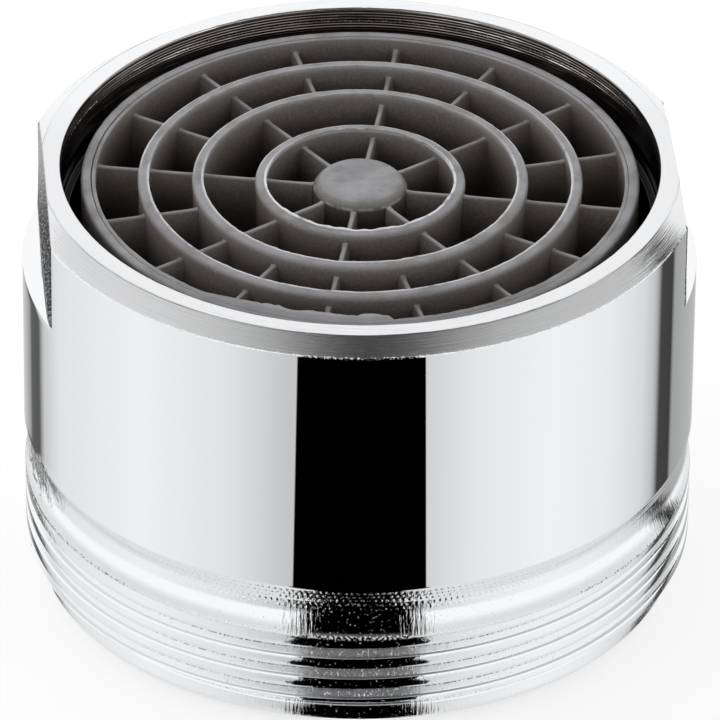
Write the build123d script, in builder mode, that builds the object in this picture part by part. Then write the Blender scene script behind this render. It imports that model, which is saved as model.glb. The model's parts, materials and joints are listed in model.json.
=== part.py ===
from build123d import *
import os
from math import cos, pi, radians, sin, tan

# Tap aerator with a male thread. A turned and plated housing holds a moulded insert, and a
# flat washer seals it in the spout. It stands on the washer, with the inlet down and the
# outlet up. The origin is on the axis, in the washer's sealing face, and the two spanner
# flats face -X and +X. The thread is drawn as a plain cylinder over its crests.

# Housing, across
thread_d = 27.95        # over the crests of the M28 x 1 thread
thread_depth = 0.58     # crest to root, and so the step down to the lead-in
relief_depth = 0.28     # relief groove below the crests
body_step = 0.025       # the body stands this far outside the crests
thread_wall = 0.7       # metal between the thread's root and the counterbore
shoulder_w = 0.65       # ledge that the insert's flange seats on
mouth_step = 0.35       # the outlet mouth is this much wider than the bore
rim_w = 0.8             # flat ring round the outlet
flats_cut = 0.9         # depth of each spanner flat, so 26.2 mm across both

# Housing, along
housing_h = 18.7
neck_h = 6.75           # thread end to the lower edge of the body
relief_h = 2.3          # relief groove with the body's lower taper
relief_taper_h = 0.7    # taper from the relief groove out to the body
lead_in_h = 0.85        # plain ring below the first turn of the thread
counterbore_h = 3.0     # inlet end to the shoulder
mouth_h = 2.5           # depth of the outlet mouth
rim_chamfer_h = 0.6
flats_h = 4.4           # rim down to the ledge under each flat

# Washer
washer_h = 2.2
washer_proud = 0.4      # stands out of the housing, to be squeezed by the spout
washer_w = 2.8          # bore to edge

# Insert sleeve
slip_gap = 0.1          # radial play of what drops in from the inlet
press_gap = 0.03        # radial play of what is pressed in
air_gap = 0.5           # air duct between the sleeve and the bore
insert_recess = 0.78    # rim down to the end of the insert
outlet_wall = 0.4       # sleeve wall round the grille
sleeve_wall = 0.65      # sleeve wall round the mixing grid
window_count = 4        # air windows
window_w = 8.0
window_h = 2.2
window_sill = 0.4       # jet plate up to the windows

# Outlet grille
grille_h = 4.9
hub_d = 3.9
hub_drop = 0.1          # hub top below the ring tops
hub_chamfer = 0.2
dimple_d = 1.6
dimple_depth = 0.15
outer_cell_w = 1.8      # open width of each row of cells, from the rim inward
middle_cell_w = 1.85
inner_cell_w = 2.2      # the last row, round the hub, takes what is left
ring_w = 0.4
grille_rim_w = 0.15
spoke_w = 0.2           # spoke at its top
spoke_drop = 0.52       # spoke tops below the ring tops
spoke_draft = 1.6       # degrees, each side
spoke_count = 8         # hub to rim, and as many again from the middle ring to the rim
spoke_turn = 77.7       # direction of the first spoke, from +X

# Mixing grid
grid_h = 1.6
grid_rim_w = 0.8
bar_w = 0.6
bar_pitch = 1.9

# Jet plate
jet_plate_h = 1.4
jet_d = 1.0
jet_pitch = 3.3         # between rows, and along a row
jet_sides = 6
jet_margin = 2.9        # plate edge to the middle of the outer row
leg_w = 1.6             # spacer leg behind each pillar between two air windows
leg_t = 0.8

# Strainer
strainer_h = 0.8
strainer_rim_w = 1.6    # plain edge outside the slots
slot_l = 3.0
slot_w = 1.0
slot_rib_w = 0.8        # between rows of slots
slot_pitch = 2.8        # along a row
slot_hub_r = 1.5        # plain middle

# Radii that follow
thread_r = thread_d / 2
root_r = thread_r - thread_depth
relief_r = thread_r - relief_depth
body_r = thread_r + body_step
counterbore_r = root_r - thread_wall
bore_r = counterbore_r - shoulder_w
mouth_r = bore_r + mouth_step
rim_r = mouth_r + rim_w
flange_r = counterbore_r - slip_gap
sleeve_r = bore_r - air_gap
seat_r = sleeve_r - outlet_wall
grille_r = seat_r - press_gap
guide_r = sleeve_r - sleeve_wall
stack_r = guide_r - slip_gap
mesh_r = stack_r - strainer_rim_w

# Heights that follow
housing_z = washer_proud
neck_z = housing_z + neck_h
shoulder_z = housing_z + counterbore_h
rim_z = housing_z + housing_h
insert_z = rim_z - insert_recess
grille_z = insert_z - grille_h
grid_z = grille_z - grid_h
jet_z = washer_h + strainer_h
jet_top_z = jet_z + jet_plate_h
window_z = jet_top_z + window_sill


def radial_plane(angle, radius):
    """Upright plane across a spoke: its normal points outward, and its Y is up."""
    out = Vector(cos(radians(angle)), sin(radians(angle)), 0)
    return Plane(origin=out * radius, x_dir=(-out.Y, out.X, 0), z_dir=out)


def row_count(radius, pitch):
    """How many places of a given pitch fit on a circle."""
    return int(2 * pi * radius / pitch)


os.makedirs("parts", exist_ok=True)

# Housing: one turned section, then the two milled flats
with BuildPart() as housing:
    with BuildSketch(Plane.XZ):
        with BuildLine():
            Polyline(
                (counterbore_r, housing_z),
                (root_r, housing_z),
                (root_r, housing_z + lead_in_h),
                (thread_r, housing_z + lead_in_h + thread_depth),
                (thread_r, neck_z - relief_h),
                (relief_r, neck_z - relief_h + relief_depth),
                (relief_r, neck_z - relief_taper_h),
                (body_r, neck_z),
                (body_r, rim_z - rim_chamfer_h),
                (rim_r, rim_z),
                (mouth_r, rim_z),
                (mouth_r, rim_z - mouth_h),
                (bore_r, rim_z - mouth_h),
                (bore_r, shoulder_z),
                (counterbore_r, shoulder_z),
                close=True,
            )
        make_face()
    revolve(axis=Axis.Z)
    with BuildSketch(Plane.XY.offset(rim_z)):
        Circle(2 * body_r)
        Rectangle(2 * (body_r - flats_cut), 4 * body_r, mode=Mode.SUBTRACT)
    extrude(amount=-flats_h, mode=Mode.SUBTRACT)
housing.part.label = "housing"
export_step(housing.part, "parts/housing.step")

# Sealing washer
with BuildPart() as sealing_washer:
    with BuildSketch():
        Circle(flange_r)
        Circle(flange_r - washer_w, mode=Mode.SUBTRACT)
    extrude(amount=washer_h)
sealing_washer.part.label = "sealing_washer"
export_step(sealing_washer.part, "parts/sealing_washer.step")

# Insert sleeve: flange against the shoulder, seat for the grille, and a row of air windows
with BuildPart() as insert_sleeve:
    with BuildSketch(Plane.XZ):
        with BuildLine():
            Polyline(
                (guide_r, washer_h),
                (flange_r, washer_h),
                (flange_r, shoulder_z),
                (sleeve_r, shoulder_z),
                (sleeve_r, insert_z),
                (seat_r, insert_z),
                (seat_r, grille_z),
                (guide_r, grille_z),
                close=True,
            )
        make_face()
    revolve(axis=Axis.Z)
    with BuildSketch(Plane.XY.offset(window_z)):
        with PolarLocations(sleeve_r, window_count):
            Rectangle(4 * sleeve_wall, window_w)
    extrude(amount=window_h, mode=Mode.SUBTRACT)
insert_sleeve.part.label = "insert_sleeve"
export_step(insert_sleeve.part, "parts/insert_sleeve.step")

# Outlet grille: hub, rings and rim are one revolve, and the drafted spokes run between them
outer_ring_r = grille_r - grille_rim_w - outer_cell_w - ring_w / 2
middle_ring_r = outer_ring_r - ring_w - middle_cell_w
inner_ring_r = middle_ring_r - ring_w - inner_cell_w
hub_r = hub_d / 2
hub_z = insert_z - hub_drop
spoke_z = insert_z - spoke_drop
spoke_spread = (spoke_z - grille_z) * tan(radians(spoke_draft))
spoke_end_r = grille_r - grille_rim_w / 2
spoke_pitch = 360 / spoke_count
with BuildPart() as outlet_grille:
    with BuildSketch(Plane.XZ):
        Polygon(
            (0, grille_z),
            (hub_r, grille_z),
            (hub_r, hub_z - hub_chamfer),
            (hub_r - hub_chamfer, hub_z),
            (dimple_d / 2, hub_z),
            (0, hub_z - dimple_depth),
            align=None,
        )
        for ring_r in (inner_ring_r, middle_ring_r, outer_ring_r):
            with Locations((ring_r, grille_z)):
                Rectangle(ring_w, grille_h, align=(Align.CENTER, Align.MIN))
        with Locations((grille_r, grille_z)):
            Rectangle(grille_rim_w, grille_h, align=(Align.MAX, Align.MIN))
    revolve(axis=Axis.Z)
    for start_r, turn in ((hub_r / 2, spoke_turn), (middle_ring_r, spoke_turn + spoke_pitch / 2)):
        planes = [radial_plane(turn + i * spoke_pitch, start_r) for i in range(spoke_count)]
        with BuildSketch(*planes):
            Polygon(
                (-spoke_w / 2 - spoke_spread, grille_z),
                (spoke_w / 2 + spoke_spread, grille_z),
                (spoke_w / 2, spoke_z),
                (-spoke_w / 2, spoke_z),
                align=None,
            )
        extrude(amount=spoke_end_r - start_r)
outlet_grille.part.label = "outlet_grille"
export_step(outlet_grille.part, "parts/outlet_grille.step")

# Mixing grid: parallel bars in a round rim
bar_count = int(2 * (stack_r - grid_rim_w) / bar_pitch)
with BuildPart() as mixing_grid:
    with BuildSketch(Plane.XY.offset(grid_z)):
        Circle(stack_r)
        Circle(stack_r - grid_rim_w, mode=Mode.SUBTRACT)
        with GridLocations(0, bar_pitch, 1, bar_count):
            Rectangle(2 * stack_r, bar_w)
        Circle(stack_r, mode=Mode.INTERSECT)
    extrude(amount=grid_h)
mixing_grid.part.label = "mixing_grid"
export_step(mixing_grid.part, "parts/mixing_grid.step")

# Jet plate: rows of jets, and spacer legs that hold the mixing grid against the grille
jet_row_count = int((stack_r - jet_margin) / jet_pitch)
with BuildPart() as jet_plate:
    with BuildSketch(Plane.XY.offset(jet_z)):
        Circle(stack_r)
        for row in range(jet_row_count):
            jet_row_r = stack_r - jet_margin - row * jet_pitch
            with PolarLocations(jet_row_r, row_count(jet_row_r, jet_pitch)):
                RegularPolygon(jet_d / 2, jet_sides, mode=Mode.SUBTRACT)
    extrude(amount=jet_plate_h)
    with BuildSketch(Plane.XY.offset(jet_top_z)):
        with PolarLocations(stack_r, window_count, start_angle=180 / window_count):
            Rectangle(2 * leg_t, leg_w)
        Circle(stack_r, mode=Mode.INTERSECT)
    extrude(amount=grid_z - jet_top_z)
jet_plate.part.label = "jet_plate"
export_step(jet_plate.part, "parts/jet_plate.step")

# Strainer: a plain disc with rows of radial slots
slot_row_count = int((mesh_r - slot_hub_r + slot_rib_w) / (slot_l + slot_rib_w))
with BuildPart() as strainer:
    with BuildSketch(Plane.XY.offset(washer_h)):
        Circle(stack_r)
        for row in range(slot_row_count):
            slot_row_r = mesh_r - slot_l / 2 - row * (slot_l + slot_rib_w)
            with PolarLocations(slot_row_r, row_count(slot_row_r, slot_pitch)):
                Rectangle(slot_l, slot_w, mode=Mode.SUBTRACT)
    extrude(amount=strainer_h)
strainer.part.label = "strainer"
export_step(strainer.part, "parts/strainer.step")
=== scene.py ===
"""Looks of a tap aerator: fine meshes, finishes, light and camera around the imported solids.

Lengths are in millimetres, and become metres where a mesh is made. The part stands on its
washer with the outlet up. Angles round the axis start at +X, and those of the light and the
finishes at the front.
"""
import json
from math import acos, cos, pi, radians, sin, tan

import bmesh
import bpy
import numpy as np
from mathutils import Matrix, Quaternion, Vector, noise


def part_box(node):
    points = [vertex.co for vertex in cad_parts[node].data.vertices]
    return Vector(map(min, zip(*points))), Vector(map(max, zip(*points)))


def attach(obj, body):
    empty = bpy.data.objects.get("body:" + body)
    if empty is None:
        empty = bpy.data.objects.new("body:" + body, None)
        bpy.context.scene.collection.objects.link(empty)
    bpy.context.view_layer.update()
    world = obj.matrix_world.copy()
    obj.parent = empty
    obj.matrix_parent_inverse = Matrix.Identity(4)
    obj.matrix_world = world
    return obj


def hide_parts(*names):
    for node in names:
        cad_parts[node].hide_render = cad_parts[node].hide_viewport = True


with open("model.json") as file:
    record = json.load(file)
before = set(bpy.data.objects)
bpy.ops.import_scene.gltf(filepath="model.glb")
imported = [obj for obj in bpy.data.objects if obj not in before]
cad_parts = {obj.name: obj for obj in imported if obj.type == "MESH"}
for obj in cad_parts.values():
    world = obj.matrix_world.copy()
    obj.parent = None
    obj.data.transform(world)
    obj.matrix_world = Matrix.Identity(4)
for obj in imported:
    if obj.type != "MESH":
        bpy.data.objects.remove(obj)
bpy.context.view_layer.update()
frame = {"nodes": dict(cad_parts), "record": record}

MM = 0.001

noise.seed_set(1)       # so that the nicks are the same in every run

# Sizes that the frame gives
mounts = {mount["name"]: mount for mount in frame["record"]["mounts"]}


def node_size(node):
    """Outer radius, lowest and highest point of a round node."""
    low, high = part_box(node)
    return high[1] / MM, low[2] / MM, high[2] / MM


body_r, inlet_z, rim_z = node_size("housing")
flange_r, sleeve_z, insert_z = node_size("insert_sleeve")
grille_r, grille_z = node_size("outlet_grille")[:2]
thread_r = mounts["thread"]["dims"]["r_mm"]
thread_h = mounts["thread"]["dims"]["length_mm"]
thread_end_z = mounts["thread"]["pos_m"][2] / MM + thread_h / 2
flat_x = mounts["spanner_flat_right"]["pos_m"][0] / MM
ledge_z = 2 * mounts["spanner_flat_right"]["pos_m"][2] / MM - rim_z

# Housing, as in the solids
lead_in_h = 0.85
relief_depth = 0.28
relief_h = 2.3
relief_taper_h = 0.7
rim_r = 13.195
rim_chamfer_h = 0.6
mouth_r = 12.395
mouth_h = 2.5
bore_r = 12.045
counterbore_r = 12.695
counterbore_h = 3.0
thread_depth = 0.58

# Housing, fine form
pitch = 1.0
thread_steps = (        # rows over one pitch, closer together beside the crest
    0, 0.1, 0.18, 0.23, 0.26, 0.29, 0.32, 0.41, 0.5, 0.59, 0.68, 0.71, 0.74, 0.77, 0.82, 0.9,
)
thread_phase = 0.2      # the crests start this share of a pitch below the first turn
thread_foot_h = 0.04    # the first turn starts this far above the lead-in ring
thread_edge_h = 0.06    # plain edge above the last turn
thread_rise = 1.6       # slope of the cone on which the first turn starts
thread_fade = 0.4       # height over which the last turn runs out
crest_w = 0.46          # crest between its worn edges
crest_bow = 0.012       # the crest is a little crowned
crest_round = 0.07      # along the axis, beside the crest
flank_angle = radians(30)
edge_round = 0.035      # worn edges
crown_wear = 0.6        # the chamfer's upper edge is worn by this share of the lower one
mouth_edge = 0.09       # worn inner edge of the rim
ledge_edge = 0.04       # edge of the ledge under each flat
neck_round = 0.08       # lower edge of the body
relief_bend = radians(27)   # the relief groove curves out to this slope at the thread
flat_lean = 0.07        # each flat leans in by this much, from its middle to its ends
groove_depth = 0.1      # between the lead-in ring and the thread
groove_h = 0.14
turning_pitch = 0.13    # grooves left by the tool in the outlet's mouth
turning_depth = 0.014
turning_edge = 0.03     # height of each groove's bright upper edge
turning_h = 1.7
columns = 480           # of the mesh, round the axis
sharp_turned = radians(28)  # edges that bend more than this stay sharp

# Insert, as in the solids
washer_h = 2.2
washer_w = 2.8
sleeve_r = 11.545
seat_r = 11.145
guide_r = 10.895
window_count = 4
window_w = 8.0
window_h = 2.2
window_z = 4.8
hub_r = 1.95
hub_drop = 0.1
ring_middles = (4.115, 6.715, 8.965)
ring_w = 0.4
grille_rim_w = 0.15
spoke_drop = 0.52
spoke_draft = radians(1.6)
spoke_count = 8
spoke_turn = radians(77.7)

# Insert, fine form
insert_columns = 360
sharp_moulded = radians(40)
end_round = 0.18        # moulded edges of the rings and the sleeve
ring_lip = 0.035        # the rings swell by this much on each side at the top
lip_drop = 0.6          # from there down they are plain
lip_edge = 0.26         # height of the swollen part
flash_h = (0.11, 0.045, 0.04)   # ragged ridge along each ring's inner edge
flash_w = 0.13
insert_lean = 0.2       # the insert's end stands this much higher at the back
ring_drops = (0.13, 0.0, 0.0)   # ring tops below that end, from the hub outward
hub_bevel = 0.34
dimple_r = 0.75
dimple_depth = 0.13
spoke_w = 0.23          # a little wider than in the solids
flare = 0.05            # spokes widen by this much on each side where they meet a ring
flare_l = 0.15
spoke_rise = 0.03       # and rise by this much there
spoke_round = 0.1       # their upper edges
spoke_embed = 0.07      # they reach this far into the rings
ragged = 0.012          # nicks along the moulded edges
ragged_h = 0.3          # from the insert's end down
lip_w = 0.18            # flash round the rim's inner edge
lip_h = 0.09
lip_torn = 0.06         # how uneven it is
film_w = 0.40           # more of it at the front, where it wasn't trimmed
film_torn = 0.11
film_ends = (radians(-132), radians(-87))
seam_open = radians(183)    # the gap round the grille shows only near here
seam_spread = radians(32)
seam_w = 0.028          # elsewhere the sleeve's end closes it
window_reach = (8, 13)  # radii between which the windows are cut

# Sizes that follow
root_r = thread_r - thread_depth
relief_r = thread_r - relief_depth
lead_in_z = inlet_z + lead_in_h
shoulder_z = inlet_z + counterbore_h
neck_z = thread_end_z + relief_h
chamfer_z = rim_z - rim_chamfer_h
hub_z = insert_z - hub_drop
inlet_face_r = counterbore_r + 0.15     # the housing's section starts and ends here

# Meshes
merge_gap = 0.002       # points closer than this are one
least_edge = 0.001


def smooth_step(low, high, x):
    """0 below low, 1 above high, and an easy curve between them."""
    t = np.clip((x - low) / (high - low), 0, 1)
    return t * t * (3 - 2 * t)


def uneven(angles, *waves):
    """Noise round the axis, as a sum of (rate, weight, seed) waves."""
    return np.array([
        sum(weight * noise.noise((cos(a) * rate, sin(a) * rate, seed)) for rate, weight, seed in waves)
        for a in angles
    ])


def rounded(corners, steps=4):
    """Polyline through (r, z, radius) corners, with an arc of a few steps at each."""
    points = []
    for i, (r, z, radius) in enumerate(corners):
        here = np.array((r, z))
        if radius == 0 or i in (0, len(corners) - 1):
            points.append(here)
            continue
        before = np.array(corners[i - 1][:2]) - here
        after = np.array(corners[i + 1][:2]) - here
        before = before / np.linalg.norm(before)
        after = after / np.linalg.norm(after)
        for t in np.linspace(0, 1, steps + 1):
            bend = (1 - t) ** 2 * before + t**2 * after
            points.append(here + radius * bend)
    return points


def mesh_object(name, vertices, faces, sharp_angle=sharp_moulded):
    """Object from points in millimetres, with doubles merged and sharp edges marked."""
    mesh = bpy.data.meshes.new(name)
    mesh.from_pydata([tuple(v) for v in np.asarray(vertices) * MM], [], faces)
    piece = bpy.data.objects.new(name, mesh)
    bpy.context.scene.collection.objects.link(piece)
    finish_mesh(piece, sharp_angle)
    return piece


def finish_mesh(piece, sharp_angle=sharp_moulded):
    """Merge doubles, turn the faces outward, shade smooth and mark the sharp edges."""
    bm = bmesh.new()
    bm.from_mesh(piece.data)
    bmesh.ops.remove_doubles(bm, verts=bm.verts, dist=merge_gap * MM)
    bmesh.ops.dissolve_degenerate(bm, edges=bm.edges, dist=least_edge * MM)
    bmesh.ops.recalc_face_normals(bm, faces=bm.faces)
    for face in bm.faces:
        face.smooth = True
    for edge in bm.edges:
        edge.smooth = len(edge.link_faces) == 2 and edge.calc_face_angle() < sharp_angle
    bm.to_mesh(piece.data)
    bm.free()


def turned(angles, rows):
    """Points and faces of rows of (radius, height) over a full turn of angles. Rows close too."""
    radii = np.array([np.broadcast_to(r, angles.shape) for r, z in rows])
    heights = np.array([np.broadcast_to(z, angles.shape) for r, z in rows])
    vertices = np.stack((radii * np.cos(angles), radii * np.sin(angles), heights), axis=-1)
    row_count, column_count = radii.shape
    index = np.arange(row_count * column_count).reshape(row_count, column_count)
    following = np.roll(index, -1, axis=0)
    faces = np.stack(
        (index[:, :-1], index[:, 1:], following[:, 1:], following[:, :-1]), axis=-1
    ).reshape(-1, 4)
    return vertices.reshape(-1, 3), faces


def revolved(name, angles, rows, sharp_angle=sharp_moulded):
    """Closed ring as an object."""
    vertices, faces = turned(angles, rows)
    return mesh_object(name, vertices, faces.tolist(), sharp_angle)


# Housing

def thread_form(phase):
    """Depth of the thread below its crests, at a phase of 0 to 1 from the middle of a crest."""
    off = np.abs((phase + 0.5) % 1 - 0.5) * pitch
    share = off / (crest_w / 2)
    bow = crest_bow * np.where(share < 1, share**2, 2 * share - 1)
    past = off - crest_w / 2
    bend = np.clip(past / crest_round, 0, 1)
    flank = crest_round * bend**2 / 2 + np.maximum(past - crest_round, 0)
    return bow + flank / tan(flank_angle)


def thread_rows(angles, bottom_z, top_z):
    """Rows that follow the helix between two heights, and end flat against both."""
    turn = (angles - angles[0]) / (2 * pi) - thread_phase
    turns = int((top_z - bottom_z) / pitch) + 3
    rows = []
    for k in range(-1, turns):
        for step in thread_steps:
            z = np.clip(bottom_z + (k + step + turn) * pitch, bottom_z, top_z)
            phase = (z - bottom_z) / pitch - turn
            envelope = np.minimum(root_r + thread_rise * (z - bottom_z), thread_r)
            fade = 1 - smooth_step(top_z - thread_fade, top_z, z)
            rows.append((np.minimum(envelope, thread_r - fade * thread_form(phase)), z))
    return rows


def housing_angles():
    """Even columns, with one exactly at each end of both flats. The seam is at the back."""
    angles = np.linspace(0, 2 * pi, columns + 1) + pi / 2
    half = acos(flat_x / body_r)
    for corner in (pi - half, pi + half, 2 * pi - half, 2 * pi + half):
        angles[np.argmin(np.abs(angles - corner))] = corner
    return angles


def neck_rows(angles):
    """Rows from the inlet's face up to the body: lead-in ring, thread, relief groove and taper."""
    first_z = lead_in_z + thread_foot_h
    last_z = thread_end_z - thread_edge_h
    rows = rounded((
        (inlet_face_r, inlet_z, 0),
        (root_r, inlet_z, 0.1),
        (root_r, lead_in_z - groove_h, 0.06),
        (root_r - groove_depth, lead_in_z - 0.06, 0.03),
        (root_r - groove_depth, lead_in_z, 0.02),
        (root_r, first_z, 0),
    ))
    rows += thread_rows(angles, first_z, last_z)
    # The relief groove curves out to the thread
    bend_r = relief_depth / (1 - cos(relief_bend))
    curve = [
        (relief_r + bend_r * (1 - cos(e)), thread_end_z + bend_r * (sin(relief_bend) - sin(e)), 0)
        for e in np.linspace(relief_bend, 0, 9)
    ]
    rows += rounded(((thread_r, last_z, 0), (thread_r, thread_end_z, 0.03), *curve[1:]))
    rows += rounded((
        (relief_r, neck_z - relief_taper_h - 0.2, 0),
        (relief_r, neck_z - relief_taper_h, 0.15),
        (body_r, neck_z, neck_round),
        (body_r, neck_z + 0.1, 0),
    ))
    return rows


def body_rows(angles):
    """Rows up the body: ledges, leaning flats, chamfer and rim, with worn edges."""
    wall_r = np.minimum(body_r, flat_x / np.maximum(np.abs(np.cos(angles)), 0.01))
    on_flat = wall_r < body_r - 0.001
    slope = rim_chamfer_h / (body_r - rim_r)
    top_r = np.where(on_flat, wall_r - flat_lean, wall_r)
    corner_z = np.minimum(chamfer_z + (body_r - top_r) * slope, rim_z)
    crown_r = np.minimum(rim_r, top_r)
    rows = [(body_r, neck_z + 0.14), (body_r, neck_z + 2.0), (body_r, ledge_z - 0.4)]
    # Ledges and the walls above them
    for t in np.linspace(0, 1, 4):
        edge_r = np.where(on_flat, body_r - ledge_edge * t**2, body_r)
        rows.append((edge_r, ledge_z - ledge_edge * (1 - t) ** 2))
    rows.append((np.where(on_flat, np.minimum(wall_r + flat_lean, body_r), body_r), ledge_z))
    for share in (0.1, 0.4, 0.7, 0.9, 0.97):
        tilt = np.where(on_flat, flat_lean * (1 - 2 * share), 0)
        rows.append((np.minimum(wall_r + tilt, body_r), ledge_z + share * (corner_z - ledge_z)))
    rows.append((top_r, corner_z - 2 * edge_round))
    # Chamfer, with the worn edges below and above it
    chamfer = np.hypot(top_r - crown_r, rim_z - corner_z)
    wear = uneven(angles, (70, 1, 5), (30, 1, 7))
    worn = np.minimum(edge_round * np.clip(0.75 + wear, 0.15, 1.8), chamfer / 4)
    slant_r = (crown_r - top_r) / np.maximum(chamfer, 1e-6)
    slant_z = (rim_z - corner_z) / np.maximum(chamfer, 1e-6)
    for t in np.linspace(0, 1, 5):
        rows.append((
            top_r + worn * t**2 * slant_r,
            corner_z + worn * (t**2 * slant_z - (1 - t) ** 2),
        ))
    for share in (0.3, 0.6):
        rows.append((top_r + share * (crown_r - top_r), corner_z + share * (rim_z - corner_z)))
    for t in np.linspace(0, 1, 4):
        rows.append((
            crown_r - worn * crown_wear * ((1 - t) ** 2 * slant_r + t**2),
            rim_z - worn * crown_wear * (1 - t) ** 2 * slant_z,
        ))
    rows.append((crown_r - 0.15, rim_z))
    return rows


def mouth_rows(angles):
    """Rows from the rim down inside: mouth with its turned grooves, bore and counterbore."""
    rows = [(mouth_r + 0.24, rim_z), (mouth_r + 0.13, rim_z)]
    nicked = mouth_edge + np.maximum(uneven(angles, (60, 1, 0), (25, 1, 3)), 0) * 0.03
    for t in np.linspace(0, 1, 5):
        rows.append((mouth_r + nicked * (1 - t) ** 2, rim_z - nicked * t**2))
    for step in range(int(turning_h / turning_pitch)):
        z = rim_z - 0.2 - step * turning_pitch
        rows += [(mouth_r + turning_depth, z), (mouth_r, z - turning_edge)]
    rows += rounded((
        (mouth_r, rim_z - mouth_h + 0.4, 0),
        (mouth_r, rim_z - mouth_h, 0.08),
        (bore_r, rim_z - mouth_h, 0.06),
        (bore_r, shoulder_z, 0.05),
        (counterbore_r, shoulder_z, 0.08),
        (counterbore_r, inlet_z, 0.12),
        (inlet_face_r, inlet_z, 0),
    ))[:-1]
    return rows


def housing():
    """Turned sleeve, as one closed section."""
    angles = housing_angles()
    rows = neck_rows(angles) + body_rows(angles) + mouth_rows(angles)
    return revolved("housing_body", angles, rows, sharp_turned)


# Insert

def combine(piece, other, operation):
    """Boolean of two closed meshes. The other one goes into the first."""
    cut = piece.modifiers.new("cut", "BOOLEAN")
    cut.object = other
    cut.operation = operation
    cut.solver = "EXACT"
    shaped = bpy.data.meshes.new_from_object(
        piece.evaluated_get(bpy.context.evaluated_depsgraph_get())
    )
    piece.modifiers.clear()
    piece.data = shaped
    bpy.data.objects.remove(other)


def roughen(piece):
    """Nicks along the moulded edges at the insert's end."""
    for vertex in piece.data.vertices:
        place = vertex.co / MM
        share = min(max((place.z - (insert_z - ragged_h)) / 0.1, 0), 1)
        if share:
            push = noise.noise_vector(place * 3.1) * 0.6 + noise.noise_vector(place * 9.7) * 0.6
            push.z = min(push.z, 0)
            vertex.co += push * (ragged * share * MM)


def lean(piece):
    """Raise the outlet end towards the back. What is below the grille stays seated."""
    for vertex in piece.data.vertices:
        place = vertex.co / MM
        share = smooth_step(grille_z, insert_z - 1.0, place.z)
        vertex.co.z += share * insert_lean * (0.5 + place.y / (2 * sleeve_r)) * MM


def sleeve():
    """Moulded sleeve with its air windows."""
    angles = np.linspace(0, 2 * pi, insert_columns + 1)
    start_r = guide_r + 0.5
    rows = rounded((
        (start_r, sleeve_z, 0),
        (flange_r, sleeve_z, 0.1),
        (flange_r, shoulder_z, 0.1),
        (sleeve_r, shoulder_z, 0.05),
        (sleeve_r, insert_z, end_round),
        (seat_r, insert_z, 0.03),
        (seat_r, grille_z, 0.05),
        (guide_r, grille_z, 0.05),
        (guide_r, sleeve_z, 0.1),
        (start_r, sleeve_z, 0),
    ))[:-1]
    # The end is closed against the grille's rim, apart from a stretch where the gap shows
    aside = np.abs((angles - seam_open + pi) % (2 * pi) - pi)
    closed = seam_w * smooth_step(seam_spread, 1.4 * seam_spread, aside)
    rows = [
        (r - closed if r < seat_r + 0.05 and z > insert_z - 0.15 else r, z) for r, z in rows
    ]
    piece = revolved("sleeve_body", angles, rows)
    near, far = window_reach
    vertices, faces = [], []
    for i in range(window_count):
        out = np.array((cos(2 * pi * i / window_count), sin(2 * pi * i / window_count), 0))
        side = np.array((-out[1], out[0], 0))
        first = len(vertices)
        for z in (window_z, window_z + window_h):
            for r, w in ((near, -1), (far, -1), (far, 1), (near, 1)):
                vertices.append(out * r + side * w * window_w / 2 + np.array((0, 0, z)))
        faces += [[first + k for k in face] for face in (
            (3, 2, 1, 0), (4, 5, 6, 7), (0, 1, 5, 4), (1, 2, 6, 5), (2, 3, 7, 6), (3, 0, 4, 7))]
    combine(piece, mesh_object("windows", vertices, faces), "DIFFERENCE")
    finish_mesh(piece)
    roughen(piece)
    lean(piece)
    return piece


def spoke(turn, start_r, end_r):
    """Closed bar between two ring walls, with drafted sides, a round top and flared ends."""
    out = np.array((cos(turn), sin(turn), 0))
    side = np.array((-out[1], out[0], 0))
    top_z = insert_z - spoke_drop
    ends = np.array((0, 0.05, 0.11, 0.19, 0.3, 0.5))
    stations = [start_r - spoke_embed, *(start_r + ends), *(end_r - ends[::-1]), end_r + spoke_embed]
    vertices = []
    for r in stations:
        near = np.exp(-max(min(r - start_r, end_r - r), 0) / flare_l)
        half = spoke_w / 2 + flare * near
        bend = min(half, spoke_round)
        crest = top_z + spoke_rise * near
        spread = (crest - grille_z) * tan(spoke_draft)
        section = [(-half - spread, grille_z)]
        for t in np.linspace(0, pi / 2, 4):
            section.append((-half + bend * (1 - cos(t)), crest - bend * (1 - sin(t))))
        section += [(-w, z) for w, z in section[::-1]]
        vertices += [out * r + side * w + np.array((0, 0, z)) for w, z in section]
    count = len(section)
    faces = [list(range(count)), [len(vertices) - 1 - k for k in range(count)]]
    for i in range(len(stations) - 1):
        for k in range(count):
            after = (k + 1) % count
            here, there = i * count, (i + 1) * count
            faces.append([here + k, here + after, there + after, there + k])
    return vertices, faces


def hub_rows():
    """Section of the hub, from the axis out and down."""
    flat_r = hub_r - hub_bevel
    rows = [(share * flat_r * 0.85, hub_z) for share in np.linspace(0, 1, 9)]
    rows += rounded((
        (flat_r * 0.9, hub_z, 0),
        (flat_r, hub_z, 0.15),
        (hub_r, hub_z - hub_bevel, 0.15),
        (hub_r, grille_z, 0),
        (0, grille_z, 0),
    ))
    return rows


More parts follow.
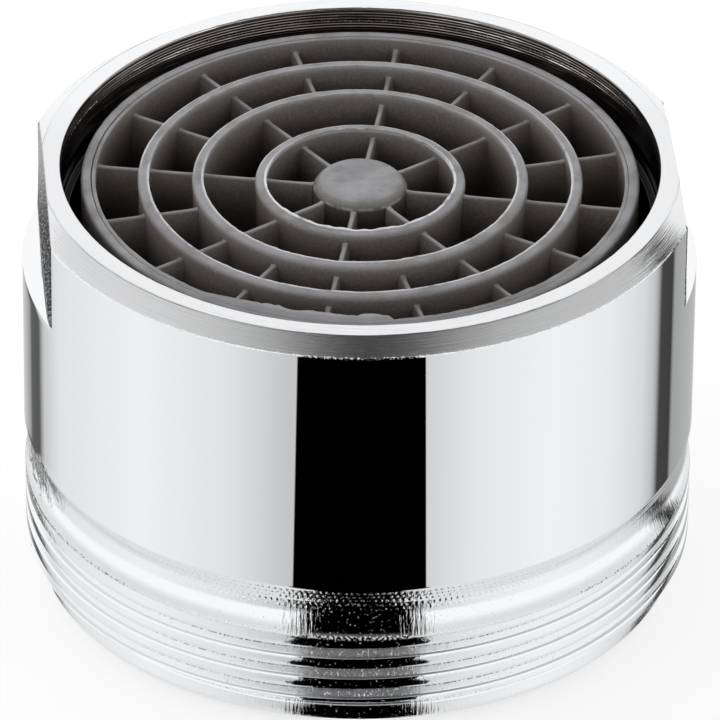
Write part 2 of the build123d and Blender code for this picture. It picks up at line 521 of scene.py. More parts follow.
def ring_rows(angles, middle, ridge_h, drop):
    """Section of a ring round a middle radius, with a ragged ridge along its inner edge."""
    inner, outer = middle - ring_w / 2, middle + ring_w / 2
    edge = inner - ring_lip
    top_z = insert_z - drop
    rows = rounded((
        (middle, grille_z, 0),
        (outer, grille_z, 0),
        (outer, top_z - lip_drop, 0.15),
        (outer + ring_lip, top_z - lip_edge, 0.05),
        (outer + ring_lip, top_z, end_round),
        (edge + flash_w, top_z, 0),
        (edge, top_z, 0.05),
        (edge, top_z - lip_edge, 0.05),
        (inner, top_z - lip_drop, 0.15),
        (inner, grille_z, 0),
        (middle, grille_z, 0),
    ), 3)[:-1]
    waves = uneven(angles, (2.4 * middle, 0.7, 11), (0.9 * middle, 0.6, 13))
    ridge = ridge_h * np.clip(0.65 + waves, 0.1, 1.2)
    flashed = []
    for r, z in rows:
        on_ridge = r < edge + flash_w and z > top_z - 0.06
        flashed.append((r, z + ridge * (1 - (r - edge) / flash_w) if on_ridge else z))
    return flashed


def rim_rows(angles):
    """Section of the grille's rim, with torn flash along its inner edge."""
    inner = grille_r - grille_rim_w
    signed = (angles + pi) % (2 * pi) - pi
    film = smooth_step(film_ends[0], film_ends[0] + 0.3, signed) * (signed < film_ends[1])
    torn = uneven(angles, (14, 1, 1), (40, 0.6, 2))
    lip = (lip_w + lip_torn * torn) * smooth_step(0.2, 0.9, -np.sin(signed))
    lip_r = inner - lip - film * (film_w + film_torn * torn) - 0.02
    rim_top = insert_z - 0.03
    return [
        (inner + 0.05, grille_z), (grille_r, grille_z), (grille_r, rim_top - 0.05),
        (grille_r - 0.015, rim_top - 0.015), (grille_r - 0.05, rim_top), (inner, rim_top),
        (lip_r + 0.02, rim_top - 0.01), (lip_r, rim_top - 0.03), (lip_r, rim_top - lip_h),
        (inner, rim_top - lip_h - 0.08), (inner, grille_z),
    ]


def grille():
    """Hub, rings and rim, joined by two sets of spokes."""
    angles = np.linspace(0, 2 * pi, insert_columns + 1)
    shells = [hub_rows()]
    walls = [(hub_r, hub_r)]
    for middle, ridge_h, drop in zip(ring_middles, flash_h, ring_drops):
        shells.append(ring_rows(angles, middle, ridge_h, drop))
        walls.append((middle - ring_w / 2, middle + ring_w / 2))
    shells.append(rim_rows(angles))
    walls.append((grille_r - grille_rim_w, grille_r))
    vertices, faces = [], []
    for rows in shells:
        more, loops = turned(angles, rows)
        faces += (loops + len(vertices)).tolist()
        vertices += more.tolist()
    piece = mesh_object("grille_body", vertices, faces)
    vertices, faces = [], []
    for i in range(spoke_count):
        for first, turn in ((0, spoke_turn), (2, spoke_turn + pi / spoke_count)):
            for k in range(first, len(walls) - 1):
                start_r, end_r = walls[k][1], walls[k + 1][0]
                more, loops = spoke(turn + 2 * pi * i / spoke_count, start_r, end_r)
                faces += [[len(vertices) + n for n in loop] for loop in loops]
                vertices += more
    combine(piece, mesh_object("spokes", vertices, faces), "UNION")
    finish_mesh(piece)
    # Sunken middle of the hub, left by the gate
    for vertex in piece.data.vertices:
        place = vertex.co / MM
        if place.z > hub_z - 0.05 and place.xy.length < hub_r - 0.1:
            off = (place.xy - Vector((0.1, 0.3))).length / dimple_r
            waves = noise.noise(place * 1.3) * 0.05 + noise.noise(place * 3.0) * 0.02
            vertex.co.z += (waves - dimple_depth * np.exp(-off * off) - 0.03) * MM
    roughen(piece)
    lean(piece)
    return piece


def washer():
    """Flat washer with soft edges."""
    angles = np.linspace(0, 2 * pi, insert_columns + 1)
    inner = flange_r - washer_w
    rows = rounded((
        (inner + 0.5, 0, 0), (flange_r, 0, 0.16), (flange_r, washer_h, 0.16),
        (inner, washer_h, 0.16), (inner, 0, 0.16), (inner + 0.5, 0, 0),
    ))[:-1]
    return revolved("washer_body", angles, rows)


# Camera, at the photograph's viewing angle

view_azimuth = radians(-4.6)
view_elevation = radians(32.876)
view_distance = 415.7
view_lens = 496.9
view_roll = radians(0.539)
aim_right = 0.063
aim_z = 9.39


def add_camera():
    back = Vector((
        sin(view_azimuth) * cos(view_elevation),
        -cos(view_azimuth) * cos(view_elevation),
        sin(view_elevation),
    ))
    right = Vector((cos(view_azimuth), sin(view_azimuth), 0))
    camera = bpy.data.objects.new("camera", bpy.data.cameras.new("camera"))
    camera.data.lens = view_lens
    camera.data.sensor_width = 36
    camera.location = (right * aim_right + Vector((0, 0, aim_z)) + back * view_distance) * MM
    camera.rotation_mode = "QUATERNION"
    camera.rotation_quaternion = back.to_track_quat("Z", "Y") @ Quaternion((0, 0, 1), view_roll)
    bpy.context.scene.collection.objects.link(camera)
    bpy.context.scene.camera = camera


# Node helpers

def new_node(tree, kind, inputs=(), **settings):
    """Node with its settings and inputs: a socket is linked, and a plain value is set."""
    node = tree.nodes.new(kind)
    for key, value in settings.items():
        setattr(node, key, value)
    for key, value in dict(inputs).items():
        if isinstance(value, bpy.types.NodeSocket):
            tree.links.new(value, node.inputs[key])
        else:
            node.inputs[key].default_value = value
    return node


def calc(tree, operation, *values):
    """Socket of one sum, product or other operation."""
    return new_node(tree, "ShaderNodeMath", dict(enumerate(values)), operation=operation).outputs[0]


def product(tree, *values):
    """Socket of several factors."""
    result = values[0]
    for value in values[1:]:
        result = calc(tree, "MULTIPLY", result, value)
    return result


def greatest(tree, *values):
    """Socket of the greatest of several values."""
    result = values[0]
    for value in values[1:]:
        result = calc(tree, "MAXIMUM", result, value)
    return result


def without(tree, share):
    """Socket of what a share leaves over."""
    return calc(tree, "SUBTRACT", 1.0, share)


def distance(tree, x, y):
    """Socket of the distance from the origin of a plane."""
    return calc(tree, "SQRT", calc(tree, "ADD", product(tree, x, x), product(tree, y, y)))


def step_up(tree, value, zero_at, one_at):
    """Socket that is 0 at one value and beyond it, 1 at another, and smooth between them."""
    inputs = {"Value": value, "From Min": zero_at, "From Max": one_at}
    node = new_node(tree, "ShaderNodeMapRange", inputs, interpolation_type="SMOOTHSTEP")
    return node.outputs["Result"]


def band(tree, value, start, full, fade, end):
    """Socket that is 1 from full to fade, and 0 before the start and after the end."""
    return product(tree, step_up(tree, value, start, full), step_up(tree, value, end, fade))


def ramp(tree, value, stops):
    """Socket of a grey ramp through (place, level) stops."""
    node = new_node(tree, "ShaderNodeValToRGB", {"Fac": value})
    elements = node.color_ramp.elements
    while len(elements) < len(stops):
        elements.new(0.5)
    for element, (place, level) in zip(elements, stops):
        element.position = place
        element.color = (level, level, level, 1)
    return node.outputs["Color"]


def blend(tree, factor, low, high):
    """Socket between two numbers."""
    inputs = {"Factor": factor, "A": low, "B": high}
    return new_node(tree, "ShaderNodeMix", inputs, data_type="FLOAT").outputs["Result"]


def tone(tree, factor, low, high):
    """Socket between two colours."""
    inputs = {"Factor": factor, 6: low, 7: high}
    return new_node(tree, "ShaderNodeMix", inputs, data_type="RGBA").outputs[2]


def joined(tree, x, y):
    """Socket of a vector in a plane."""
    return new_node(tree, "ShaderNodeCombineXYZ", {"X": x, "Y": y}).outputs[0]


def rotated(tree, vector, angle):
    """Socket of a vector turned about Z."""
    inputs = {"Vector": vector, "Angle": angle}
    return new_node(tree, "ShaderNodeVectorRotate", inputs, rotation_type="Z_AXIS").outputs[0]


def split(tree, vector):
    """Sockets of a vector's X, Y and Z, by name."""
    return new_node(tree, "ShaderNodeSeparateXYZ", {0: vector}).outputs


# Light: a white tent round the part, open at the top, with a dark gap in front. Heights, and
# places from left to right and from front to back, are those of a direction of length 1.

tent_walls = (          # levels by degrees, with the front at 0 and the right at 90
    (-180, 0.84), (-176.5, 0.96), (-173, 0.70), (-163, 0.52), (-155.5, 0.36), (-152, 0.12),
    (-142.8, 0.10), (-140.4, 0.36), (-138, 0.58), (-125, 0.80), (-80, 0.92), (-45, 0.80),
    (-23, 0.58), (0, 0.6), (24, 0.68), (42, 0.84), (70, 0.93), (95, 0.87), (114, 0.73),
    (121.5, 0.56), (124.2, 0.36), (126, 0.06), (135.4, 0.05), (137.2, 0.36), (152, 0.44),
    (166, 0.49), (176.5, 0.72), (180, 0.84),
)
walls_foot = (-0.68, -0.60)     # height at which these walls start, as the upright faces show them
walls_end = (-0.50, -0.40)      # and at which plain white takes over
tent_under = 0.78       # level below the walls
front_gap = 0.573       # half width of the dark gap, over its depth below the part
front_gap_turn = radians(1.1)
gap_depth = 0.575       # least such depth, over the level distance
gap_foot = 0.34         # share of its width straight below the part
gap_foot_end = (-0.88, -0.56)
gap_top = (0.41, 0.17)  # the gap is gone above the first height and whole below the second
ceiling = (             # levels from left to right, open in the middle
    (-1, 0.88), (-0.7, 0.79), (-0.52, 0.67), (-0.37, 0.54), (-0.285, 0.42), (-0.19, 0.28), (-0.1, 0.085),
    (0, 0.065), (0.1, 0.068), (0.19, 0.10), (0.285, 0.255), (0.37, 0.41), (0.52, 0.54), (0.62, 0.62),
    (0.75, 0.58), (1, 0.66),
)
ceiling_foot = (0.38, 0.52)
ceiling_back = (0.75, 0.55)     # it ends at the white wall at the back
post = (116, 120, 127, 131)     # dark post at the right, in degrees
post_top = (0.62, 0.56)
post_level = 0.05
tent_light = 1.7        # the matt surfaces' share, which makes up for the open top


def add_world():
    world = bpy.data.worlds.new("light_tent")
    bpy.context.scene.world = world
    world.use_nodes = True
    tree = world.node_tree
    tree.nodes.clear()
    direction = new_node(tree, "ShaderNodeTexCoord").outputs["Generated"]
    axes = split(tree, rotated(tree, direction, -view_azimuth))
    height = axes["Z"]
    azimuth = calc(tree, "ARCTAN2", axes["X"], calc(tree, "MULTIPLY", axes["Y"], -1))
    place = calc(tree, "MULTIPLY_ADD", azimuth, 1 / (2 * pi), 0.5)
    walls = ramp(tree, place, [(a / 360 + 0.5, level) for a, level in tent_walls])
    walls = blend(tree, step_up(tree, height, *walls_foot), tent_under, walls)
    # Dark gap in front, up to a little above the horizon
    gap_x = split(tree, rotated(tree, direction, -view_azimuth - front_gap_turn))["X"]
    level_share = calc(tree, "SQRT", without(tree, product(tree, height, height)))
    below = calc(tree, "MULTIPLY", height, -1)
    depth = greatest(tree, below, product(tree, level_share, gap_depth))
    reach = product(tree, depth, blend(tree, step_up(tree, height, *gap_foot_end), gap_foot, 1.0))
    aside = calc(tree, "ABSOLUTE", calc(tree, "DIVIDE", gap_x, reach))
    in_gap = step_up(tree, aside, front_gap * 1.01, front_gap * 0.99)
    ahead = step_up(tree, axes["Y"], 0.05, -0.05)
    gap = product(tree, in_gap, ahead, step_up(tree, height, *gap_top))
    # White above the walls, with the ceiling and the post
    across = calc(tree, "MULTIPLY_ADD", axes["X"], 0.5, 0.5)
    shade = ramp(tree, across, [(x / 2 + 0.5, level) for x, level in ceiling])
    overhead = product(
        tree, step_up(tree, height, *ceiling_foot), step_up(tree, axes["Y"], *ceiling_back)
    )
    upper = blend(tree, overhead, 1.0, shade)
    on_post = product(
        tree, band(tree, azimuth, *map(radians, post)), step_up(tree, height, *post_top)
    )
    upper = blend(tree, on_post, upper, post_level)
    tent = blend(tree, step_up(tree, height, *walls_end), walls, upper)
    tent = product(tree, tent, without(tree, gap))
    # Metal sees the tent as it is, and the camera sees plain white behind the floor
    path = new_node(tree, "ShaderNodeLightPath").outputs
    level = blend(tree, path["Is Glossy Ray"], calc(tree, "MULTIPLY", tent, tent_light), tent)
    level = blend(tree, path["Is Camera Ray"], level, 1.0)
    background = new_node(tree, "ShaderNodeBackground", {"Color": (1, 1, 1, 1), "Strength": level})
    new_node(tree, "ShaderNodeOutputWorld", {"Surface": background.outputs[0]})


floor_drop = 0.01       # just clear of the washer's face
floor_size = 2000
floor_tint = (0.4, 0.4, 0.4, 1)
floor_lift = 0.66       # the camera sees it this much brighter, outside the part


def add_floor():
    square = ((-1, -1), (1, -1), (1, 1), (-1, 1))
    corners = [(x * floor_size, y * floor_size, -floor_drop) for x, y in square]
    floor = mesh_object("floor", corners, [(0, 1, 2, 3)])
    floor.visible_glossy = False
    material = bpy.data.materials.new("pale_floor")
    material.use_nodes = True
    tree = material.node_tree
    tree.nodes.clear()
    matt = new_node(tree, "ShaderNodeBsdfDiffuse", {"Color": floor_tint}).outputs[0]
    seen = new_node(tree, "ShaderNodeLightPath").outputs["Is Camera Ray"]
    place = part_place(tree)
    off_axis = new_node(tree, "ShaderNodeVectorMath", {0: place}, operation="LENGTH").outputs["Value"]
    uncovered = step_up(tree, off_axis, (flange_r - washer_w) * MM, flange_r * MM)
    strength = product(tree, seen, uncovered, floor_lift)
    lift = new_node(tree, "ShaderNodeEmission", {"Color": (1, 1, 1, 1), "Strength": strength}).outputs[0]
    both = new_node(tree, "ShaderNodeAddShader", {0: matt, 1: lift}).outputs[0]
    new_node(tree, "ShaderNodeOutputMaterial", {"Surface": both})
    floor.data.materials.append(material)


# Finishes

def new_material(name):
    material = bpy.data.materials.new(name)
    material.use_nodes = True
    tree = material.node_tree
    tree.nodes.clear()
    shader = new_node(tree, "ShaderNodeBsdfPrincipled")
    new_node(tree, "ShaderNodeOutputMaterial", {"Surface": shader.outputs[0]})
    return material, tree, shader


def part_place(tree):
    """Socket of the place on the object, in metres."""
    return new_node(tree, "ShaderNodeTexCoord").outputs["Object"]


def part_axes(tree, place):
    """Sockets by name of x, y, z and the distance from the axis, in millimetres."""
    axes = split(tree, place)
    x, y, z = (calc(tree, "MULTIPLY", axes[name], 1 / MM) for name in "XYZ")
    return {"x": x, "y": y, "z": z, "radius": distance(tree, x, y)}


def spread_noise(tree, place, scales, detail):
    """Socket of noise with its own scale along each axis."""
    spread = new_node(tree, "ShaderNodeVectorMath", {0: place, 1: scales}, operation="MULTIPLY")
    inputs = {"Vector": spread.outputs[0], "Scale": 1.0, "Detail": detail}
    return new_node(tree, "ShaderNodeTexNoise", inputs).outputs[0]


def add_relief(tree, shader, height, size):
    """Bump from a height, which counts in steps of a size in millimetres."""
    inputs = {"Strength": 1.0, "Distance": size * MM, "Height": height}
    bump = new_node(tree, "ShaderNodeBump", inputs)
    tree.links.new(bump.outputs[0], shader.inputs["Normal"])


dot_pitch = 0.25        # chatter dots on the taper, along a row
dot_row = 0.24
dot_shift = 0.36        # each row is shifted by this share of the pitch
scuff_slant = radians(33)   # the scuffs on the flats slant down to the rear
rear_rise = 1.55        # and carry a painted sheen towards the upper rear corner, along this slope
chrome_relief = 0.02
chrome_rough = {"neck": 0.05, "sunken": 0.06, "crown": 0.07, "inside": 0.1, "milled": 0.8}
plate_tint = (0.93, 0.94, 0.955, 1)
foot_shade_tint = (0.72, 0.725, 0.735, 1)     # painted shade where the relief groove meets the thread
# dark crumbs, and painted shade in the thread's roots
crumb_and_root_shade_tint = (0.08, 0.075, 0.07, 1)
dull_and_sheen_tint = (0.7, 0.69, 0.69, 1)        # dull rim, and the painted sheen in the upper rear corner of the flats
turning_tint = (0.7, 0.7, 0.71, 1)
rim_line_tint = (0.16, 0.155, 0.15, 1)  # broken line between the rim and its chamfer
# painted sparkle on the thread and the worn edge
sparkle_tint = (0.95, 0.95, 0.95, 1)
mouth_shade_tints = ((0.022, 0.02, 0.02, 1), (0.24, 0.212, 0.195, 1))     # painted shade inside the mouth, the second paler at the upper rear
glint_tint = (0.95, 0.93, 0.9, 1)
scuff_tints = ((0.01, 0.009, 0.009, 1), (0.3, 0.295, 0.295, 1))


def chrome_zones(tree, at):
    """Sockets by name, each of them 1 in one zone of the housing."""
    y, z, radius = at["y"], at["z"], at["radius"]
    off_middle = calc(tree, "ABSOLUTE", at["x"])
    turned_off = calc(tree, "ABSOLUTE", calc(tree, "SUBTRACT", at["angle"], view_azimuth))
    sides = step_up(tree, turned_off, radians(25), radians(45))
    end_z = thread_end_z
    threaded = band(tree, z, lead_in_z, lead_in_z + 0.1, end_z - 0.02, end_z + 0.05)
    on_taper = band(tree, z, neck_z - 1.2, neck_z - 1.0, neck_z - 0.06, neck_z)
    return {
        # Round the axis
        "front": step_up(tree, turned_off, radians(18), radians(11)),
        "sides": sides,
        "rear": step_up(tree, y, 2.0, 7.0),
        "beside": step_up(tree, off_middle, 2.0, 7.0),
        # Thread and neck
        "threaded": threaded,
        "sunken": product(tree, threaded, step_up(tree, radius, thread_r - 0.04, thread_r - 0.14)),
        "rooted": product(tree, threaded, step_up(tree, radius, thread_r - 0.32, thread_r - 0.37)),
        "thread_edge": band(tree, z, end_z - 0.12, end_z - 0.04, end_z + 0.04, end_z + 0.12),
        # Painted shade at the foot of the relief groove
        "foot_shade": band(tree, z, end_z - 0.1, end_z, end_z + 0.2, end_z + 0.6),
        "neck": step_up(tree, z, neck_z - 0.02, neck_z - 0.08),
        "taper": product(tree, on_taper, without(tree, sides)),
        # Left end of the relief groove
        "crumbled": product(
            tree, band(tree, at["angle"], radians(-122), radians(-100), radians(-76), radians(-58)),
            band(tree, z, neck_z - 4.2, neck_z - 1.8, neck_z - 0.2, neck_z + 0.5),
        ),
        # Flats, rim and mouth
        "milled": product(
            tree, step_up(tree, off_middle, flat_x - 0.08, flat_x - 0.05),
            band(tree, z, ledge_z + 0.02, ledge_z + 0.06, rim_z - 0.03, rim_z - 0.01),
        ),
        "worn_edge": band(tree, z, chamfer_z - 0.09, chamfer_z - 0.03, chamfer_z, chamfer_z + 0.06),
        "crown": step_up(tree, z, chamfer_z - 0.01, chamfer_z + 0.02),
        "rim_edge": product(
            tree, step_up(tree, z, rim_z - 0.08, rim_z - 0.05),
            band(tree, radius, rim_r - 0.045, rim_r - 0.025, rim_r + 0.03, rim_r + 0.05),
        ),
        "inside": step_up(tree, radius, mouth_r + 0.05, mouth_r + 0.01),
    }


def chatter_dots(tree, around, z):
    """Socket that is 1 in the middle of each dot, in shifted rows."""
    row = calc(tree, "DIVIDE", calc(tree, "SUBTRACT", z, neck_z), dot_row)
    shift = calc(tree, "MULTIPLY", calc(tree, "FLOOR", row), dot_shift)
    in_row = calc(tree, "MULTIPLY_ADD", around, 1 / dot_pitch, shift)
    across_dot = calc(tree, "SUBTRACT", calc(tree, "FRACT", in_row), 0.5)
    along_dot = calc(tree, "SUBTRACT", calc(tree, "FRACT", row), 0.5)
    return step_up(tree, distance(tree, across_dot, along_dot), 0.46, 0.05)


def chrome_marks(tree, at):
    """Sockets by name of the fine marks."""
    around = calc(tree, "MULTIPLY", at["angle"], body_r)
    unrolled = joined(tree, around, at["z"])
    across = joined(tree, around, calc(tree, "SUBTRACT", at["z"], at["radius"]))
    slanting = rotated(tree, joined(tree, at["y"], at["z"]), scuff_slant)
    speckle = spread_noise(tree, unrolled, (4.0, 4.0, 1.0), 4.0)
    grit = spread_noise(tree, unrolled, (9.0, 9.0, 1.0), 3.0)
    patches = spread_noise(tree, unrolled, (0.7, 1.1, 1.0), 2.0)
    glints = spread_noise(tree, unrolled, (0.35, 9.0, 1.0), 3.0)
    dots = chatter_dots(tree, around, at["z"])
    return {
        "speckle": speckle,
        "grit": grit,
        "pits": step_up(tree, grit, 0.66, 0.74),
        "patches": step_up(tree, patches, 0.3, 0.62),
        "glints": step_up(tree, glints, 0.5, 0.66),
        "streaks": spread_noise(tree, unrolled, (8.0, 1.0, 1.0), 3.0),
        "turning": spread_noise(tree, across, (0.25, 16.0, 1.0), 3.0),
        "scuffs": spread_noise(tree, slanting, (0.7, 9.5, 1.0), 2.0),
        "dots": product(tree, dots, step_up(tree, speckle, 0.4, 0.52)),
    }


def chrome_wear(tree, zone, mark):
    """Sockets by name of crumbled metal, dark crumbs with painted shade in the thread's roots, and
    painted sparkle.
    """
    grit = mark["grit"]
    edge = zone["thread_edge"]
    crumbled = product(tree, zone["crumbled"], mark["patches"])
    # Painted shade along the thread's roots
    root_shade = product(tree, zone["rooted"], step_up(tree, grit, 0.5, 0.58), 0.75)
    side_crumbs = step_up(tree, product(tree, zone["sides"], edge, grit), 0.52, 0.62)
    patch_crumbs = step_up(tree, product(tree, crumbled, mark["speckle"]), 0.46, 0.58)
    # Painted sparkle: white spots on the thread's front, along its edge and on the worn chamfer edge
    front_sparkle = product(tree, zone["front"], zone["sunken"], step_up(tree, grit, 0.56, 0.68))
    edge_sparkle = product(tree, edge, without(tree, zone["sides"]), step_up(tree, grit, 0.46, 0.56))
    worn_edge_sparkle = product(tree, zone["worn_edge"], step_up(tree, grit, 0.5, 0.6))
    return {
        "crumbled": crumbled,
        "crumbs_and_root_shade": greatest(tree, root_shade, side_crumbs, product(tree, patch_crumbs, 0.6)),
        "sparkle": greatest(tree, front_sparkle, edge_sparkle, worn_edge_sparkle),
    }


def chrome_tint(tree, at, zone, mark, wear):
    """Socket of the colour: plating and rim, then the mouth with painted shade, then the flats with
    painted sheen.
    """
    turning = mark["turning"]
    dulled = product(tree, zone["crown"], calc(tree, "MULTIPLY_ADD", zone["rear"], -0.8, 1.0))
    rim_line = product(tree, zone["rim_edge"], step_up(tree, turning, 0.45, 0.6), 0.7)
    # Painted shade where the relief groove meets the thread
    tint = tone(tree, zone["foot_shade"], plate_tint, foot_shade_tint)
    # Dark crumbs, and painted shade in the thread's roots
    tint = tone(tree, wear["crumbs_and_root_shade"], tint, crumb_and_root_shade_tint)
    tint = tone(tree, product(tree, dulled, 0.25), tint, dull_and_sheen_tint)
    tint = tone(tree, product(tree, dulled, turning, 0.35), tint, turning_tint)
    tint = tone(tree, rim_line, tint, rim_line_tint)
    # Painted sparkle
    tint = tone(tree, wear["sparkle"], tint, sparkle_tint)
    # Mouth: painted shade, paler at the upper rear, with painted glints beside the middle
    upper_rear = product(tree, zone["rear"], step_up(tree, at["z"], rim_z - 2.0, rim_z - 1.6))
    glinting = tone(tree, product(tree, mark["glints"], zone["beside"]), mouth_shade_tints[1], glint_tint)
    mouth = tone(tree, upper_rear, mouth_shade_tints[0], glinting)
    tint = tone(tree, zone["inside"], tint, mouth)
    # Flats: scuffed, with a painted sheen towards the upper rear corner
    to_rear = calc(tree, "MULTIPLY_ADD", calc(tree, "SUBTRACT", at["z"], ledge_z), rear_rise, at["y"])
    painted_sheen = product(tree, step_up(tree, to_rear, 2.5, 9.0), 0.6)
    scuffed = tone(tree, step_up(tree, mark["scuffs"], 0.44, 0.7), *scuff_tints)
    return tone(tree, zone["milled"], tint, tone(tree, painted_sheen, scuffed, dull_and_sheen_tint))


def chrome():
    """Plating: bright outside, dull on the rim, painted shade in the mouth, scuffed flats with a painted
    sheen.
    """
    material, tree, shader = new_material("chrome")
    at = part_axes(tree, part_place(tree))
    at["angle"] = calc(tree, "ARCTAN2", at["x"], calc(tree, "MULTIPLY", at["y"], -1))
    zone = chrome_zones(tree, at)
    mark = chrome_marks(tree, at)
    wear = chrome_wear(tree, zone, mark)
    tree.links.new(chrome_tint(tree, at, zone, mark, wear), shader.inputs["Base Color"])
    rough = blend(tree, mark["speckle"], 0.005, 0.025)
    for name, more in chrome_rough.items():
        rough = calc(tree, "MULTIPLY_ADD", zone[name], more, rough)
    tree.links.new(rough, shader.inputs["Roughness"])
    # Matt where it is milled and where sparkle is painted, with a haze in the thread's front
    haze = product(tree, zone["sunken"], zone["front"], 0.2)
    matt = greatest(tree, zone["milled"], wear["sparkle"], haze)
    tree.links.new(calc(tree, "MULTIPLY_ADD", matt, -0.8, 1.0), shader.inputs["Metallic"])
    streaked = calc(tree, "SUBTRACT", zone["neck"], zone["threaded"])
    height = product(tree, mark["streaks"], streaked, 0.45)
    for share, form, size in (
        (zone["taper"], mark["dots"], 0.45), (zone["milled"], mark["scuffs"], 2.5),
        (zone["threaded"], mark["speckle"], 0.2), (zone["neck"], mark["pits"], 0.3),
        (zone["crown"], mark["turning"], 0.6), (wear["crumbled"], mark["speckle"], 3.0),
    ):
        height = calc(tree, "ADD", height, product(tree, share, form, size))
    add_relief(tree, shader, height, chrome_relief)
    return material


top_light_depth = 0.3        # depth below the upper edges over which the walls' painted light fades
plastic_relief = 0.014
wall_tints = ((0.10, 0.085, 0.075, 1), (0.14, 0.124, 0.113, 1))
wall_grain_tint = (0.165, 0.146, 0.132, 1)
top_light_tints = ((0.23, 0.222, 0.215, 1), (0.32, 0.312, 0.305, 1))
side_light_tint = (0.4, 0.36, 0.33, 1)
painted_shade_black = (0.0, 0.0, 0.0, 1)
top_sheen_tints = ((0.22, 0.22, 0.23, 1), (0.36, 0.36, 0.375, 1))
blotch_tint = (0.19, 0.185, 0.185, 1)
end_shade_tint = (0.1, 0.1, 0.105, 1)
edge_highlight_tint = (0.8, 0.8, 0.81, 1)
highlight_front = (1.0, 0.6, 0.6)   # share of painted highlight on each ring's inner edge, in front of the hub
highlight_loss = (-0.8, -0.5, -0.5)     # and the change of it behind the hub


def edge_band(tree, radius, edge):
    """Socket that is 1 in a narrow band along an edge."""
    return band(tree, radius, edge - 0.05, edge - 0.02, edge + 0.07, edge + 0.12)


def on_hub(tree, at):
    """Socket that is 1 on the hub."""
    return step_up(tree, at["radius"], hub_r + 0.06, hub_r + 0.02)


def plastic_walls(tree, at, mark, deep_shade):
    """Socket of the walls' colour: brown, with painted light up top and at the sides, and painted shade
    deep down.
    """
    grain = mark["grain"]
    top_light = calc(tree, "MULTIPLY", greatest(tree, at["under"], 0.0), -1 / top_light_depth)
    at_side = step_up(tree, calc(tree, "ABSOLUTE", at["x"]), 3.0, 8.0)
    far_back = step_up(tree, at["y"], 2.0, 7.0)
    wall = tone(tree, mark["mottle"], *wall_tints)
    wall = tone(tree, step_up(tree, grain, 0.35, 0.7), wall, wall_grain_tint)
    # Painted light along the walls' upper edges, fading with depth
    wall = tone(tree, calc(tree, "EXPONENT", top_light), wall, tone(tree, grain, *top_light_tints))
    # Painted light on the walls at the left and right
    wall = tone(tree, product(tree, at_side, 0.12), wall, side_light_tint)
    # Painted shade deep in the cells, less at the sides and more at the back
    depth = step_up(tree, at["z"], insert_z - 0.1, insert_z - 2.6)
    deepen = calc(tree, "ADD", blend(tree, at_side, 1.0, 0.7), product(tree, far_back, 0.2))
    wall = tone(tree, product(tree, depth, deepen, 1 - deep_shade), wall, painted_shade_black)
    # Painted shade on the hub's sides
    hub_shade = product(tree, on_hub(tree, at), step_up(tree, at["under"], 0.15, 0.6), 0.6)
    return tone(tree, hub_shade, wall, painted_shade_black)


def plastic_tops(tree, at, mark):
    """Socket of the tops' colour: painted sheen, mottled and blotched, painted shade at the front of the
    end.
    """
    on_end = step_up(tree, at["radius"], grille_r - 0.7, grille_r - 0.4)
    # Painted shade along the front of the insert's end
    end_shade = product(tree, on_end, step_up(tree, at["y"], -6.0, -9.5), 0.45)
    top = tone(tree, mark["mottle"], *top_sheen_tints)
    top = tone(tree, step_up(tree, mark["blotch"], 0.42, 0.75), top, blotch_tint)
    return tone(tree, end_shade, top, end_shade_tint)


def plastic_edge_highlights(tree, at, mark):
    """Socket of painted highlights on the hub's bevel, the rings' inner edges and, behind the hub, their
    outer ones.
    """
    radius, under, mottle = at["radius"], at["under"], mark["mottle"]
    behind = step_up(tree, at["y"], 0.0, 3.0)
    edge_highlight = 0.0
    for middle, drop, share, loss in zip(ring_middles, ring_drops, highlight_front, highlight_loss):
        inner_edge = edge_band(tree, radius, middle - ring_w / 2 - ring_lip)
        outer_edge = edge_band(tree, radius, middle + ring_w / 2 + ring_lip - 0.08)
        inner_highlight = product(tree, inner_edge, calc(tree, "MULTIPLY_ADD", behind, loss, share))
        outer_highlight = product(tree, outer_edge, behind, 0.8)
        on_top = step_up(tree, under, drop + 0.16, drop + 0.08)
        ring_highlight = product(tree, calc(tree, "ADD", inner_highlight, outer_highlight), on_top)
        edge_highlight = calc(tree, "ADD", edge_highlight, ring_highlight)
    edge_highlight = product(tree, edge_highlight, step_up(tree, mottle, 0.28, 0.48))
    hub_edge = product(tree, on_hub(tree, at), band(tree, under, 0.36, 0.41, 0.46, 0.52))
    hub_highlight = product(tree, hub_edge, step_up(tree, mottle, 0.36, 0.6), 0.2)
    return calc(tree, "ADD", edge_highlight, hub_highlight)


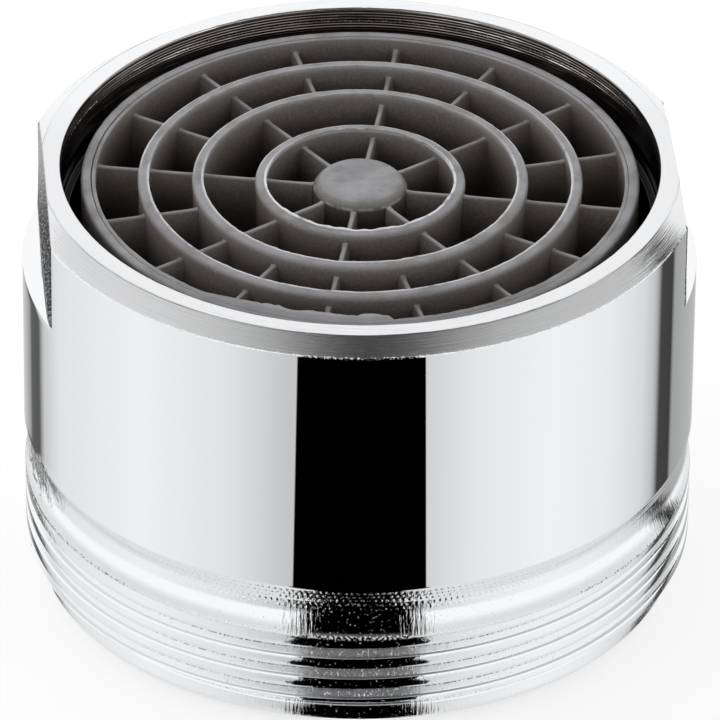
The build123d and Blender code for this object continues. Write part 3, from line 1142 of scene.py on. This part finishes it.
def grey_plastic(name, deep_shade):
    """Satin moulded plastic with painted light and shade. The deep shade is the share kept deep in the
    cells.
    """
    material, tree, shader = new_material(name)
    place = part_place(tree)
    at = part_axes(tree, place)
    # Depth below the insert's leaning end
    lean_rate = insert_lean / (2 * sleeve_r)
    end_z = calc(tree, "MULTIPLY_ADD", at["y"], lean_rate, insert_z + insert_lean / 2)
    at["under"] = calc(tree, "SUBTRACT", end_z, at["z"])
    mark = {
        "mottle": spread_noise(tree, place, (1500, 1500, 1500), 5.0),
        "grain": spread_noise(tree, place, (9000, 9000, 9000), 2.0),
        "blotch": spread_noise(tree, place, (700, 700, 700), 3.0),
    }
    normal = new_node(tree, "ShaderNodeNewGeometry").outputs["Normal"]
    # Upward faces take the tops' colour with its painted sheen, the others the walls' colour
    level = step_up(tree, calc(tree, "ABSOLUTE", split(tree, normal)["Z"]), 0.6, 0.97)
    walls = plastic_walls(tree, at, mark, deep_shade)
    tint = tone(tree, level, walls, plastic_tops(tree, at, mark))
    # Painted highlights along the moulded edges
    tint = tone(tree, plastic_edge_highlights(tree, at, mark), tint, edge_highlight_tint)
    tree.links.new(tint, shader.inputs["Base Color"])
    tree.links.new(blend(tree, mark["grain"], 0.34, 0.5), shader.inputs["Roughness"])
    add_relief(tree, shader, calc(tree, "ADD", mark["grain"], mark["mottle"]), plastic_relief)
    return material


rubber_relief = 0.02
rubber_tints = ((0.018, 0.018, 0.019, 1), (0.04, 0.04, 0.042, 1))


def rubber():
    """Matt black rubber."""
    material, tree, shader = new_material("rubber")
    mottle = spread_noise(tree, part_place(tree), (1200, 1200, 1200), 4.0)
    tree.links.new(tone(tree, mottle, *rubber_tints), shader.inputs["Base Color"])
    shader.inputs["Roughness"].default_value = 0.7
    add_relief(tree, shader, mottle, rubber_relief)
    return material


finishes = {
    "chrome": chrome(),
    "grey_plastic": grey_plastic("grey_plastic", deep_shade=0.9),
    "rubber": rubber(),
}
slots = {part["node"]: part["material_slot"] for part in frame["record"]["subparts"]}
for node, piece in frame["nodes"].items():
    piece.data.materials.clear()
    piece.data.materials.append(finishes[slots[node]])


def dress(piece, node, finish=None):
    """The piece stands for a node and takes that node's finish."""
    piece.data.materials.clear()
    piece.data.materials.append(finish or finishes[slots[node]])
    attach(piece, "root")
    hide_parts(node)


outlet_plastic = grey_plastic("outlet_plastic", deep_shade=0.42)
dress(grille(), "outlet_grille", outlet_plastic)
dress(sleeve(), "insert_sleeve", outlet_plastic)
dress(washer(), "sealing_washer")
dress(housing(), "housing")
add_camera()
add_world()
add_floor()
bpy.context.scene.view_settings.view_transform = "Standard"
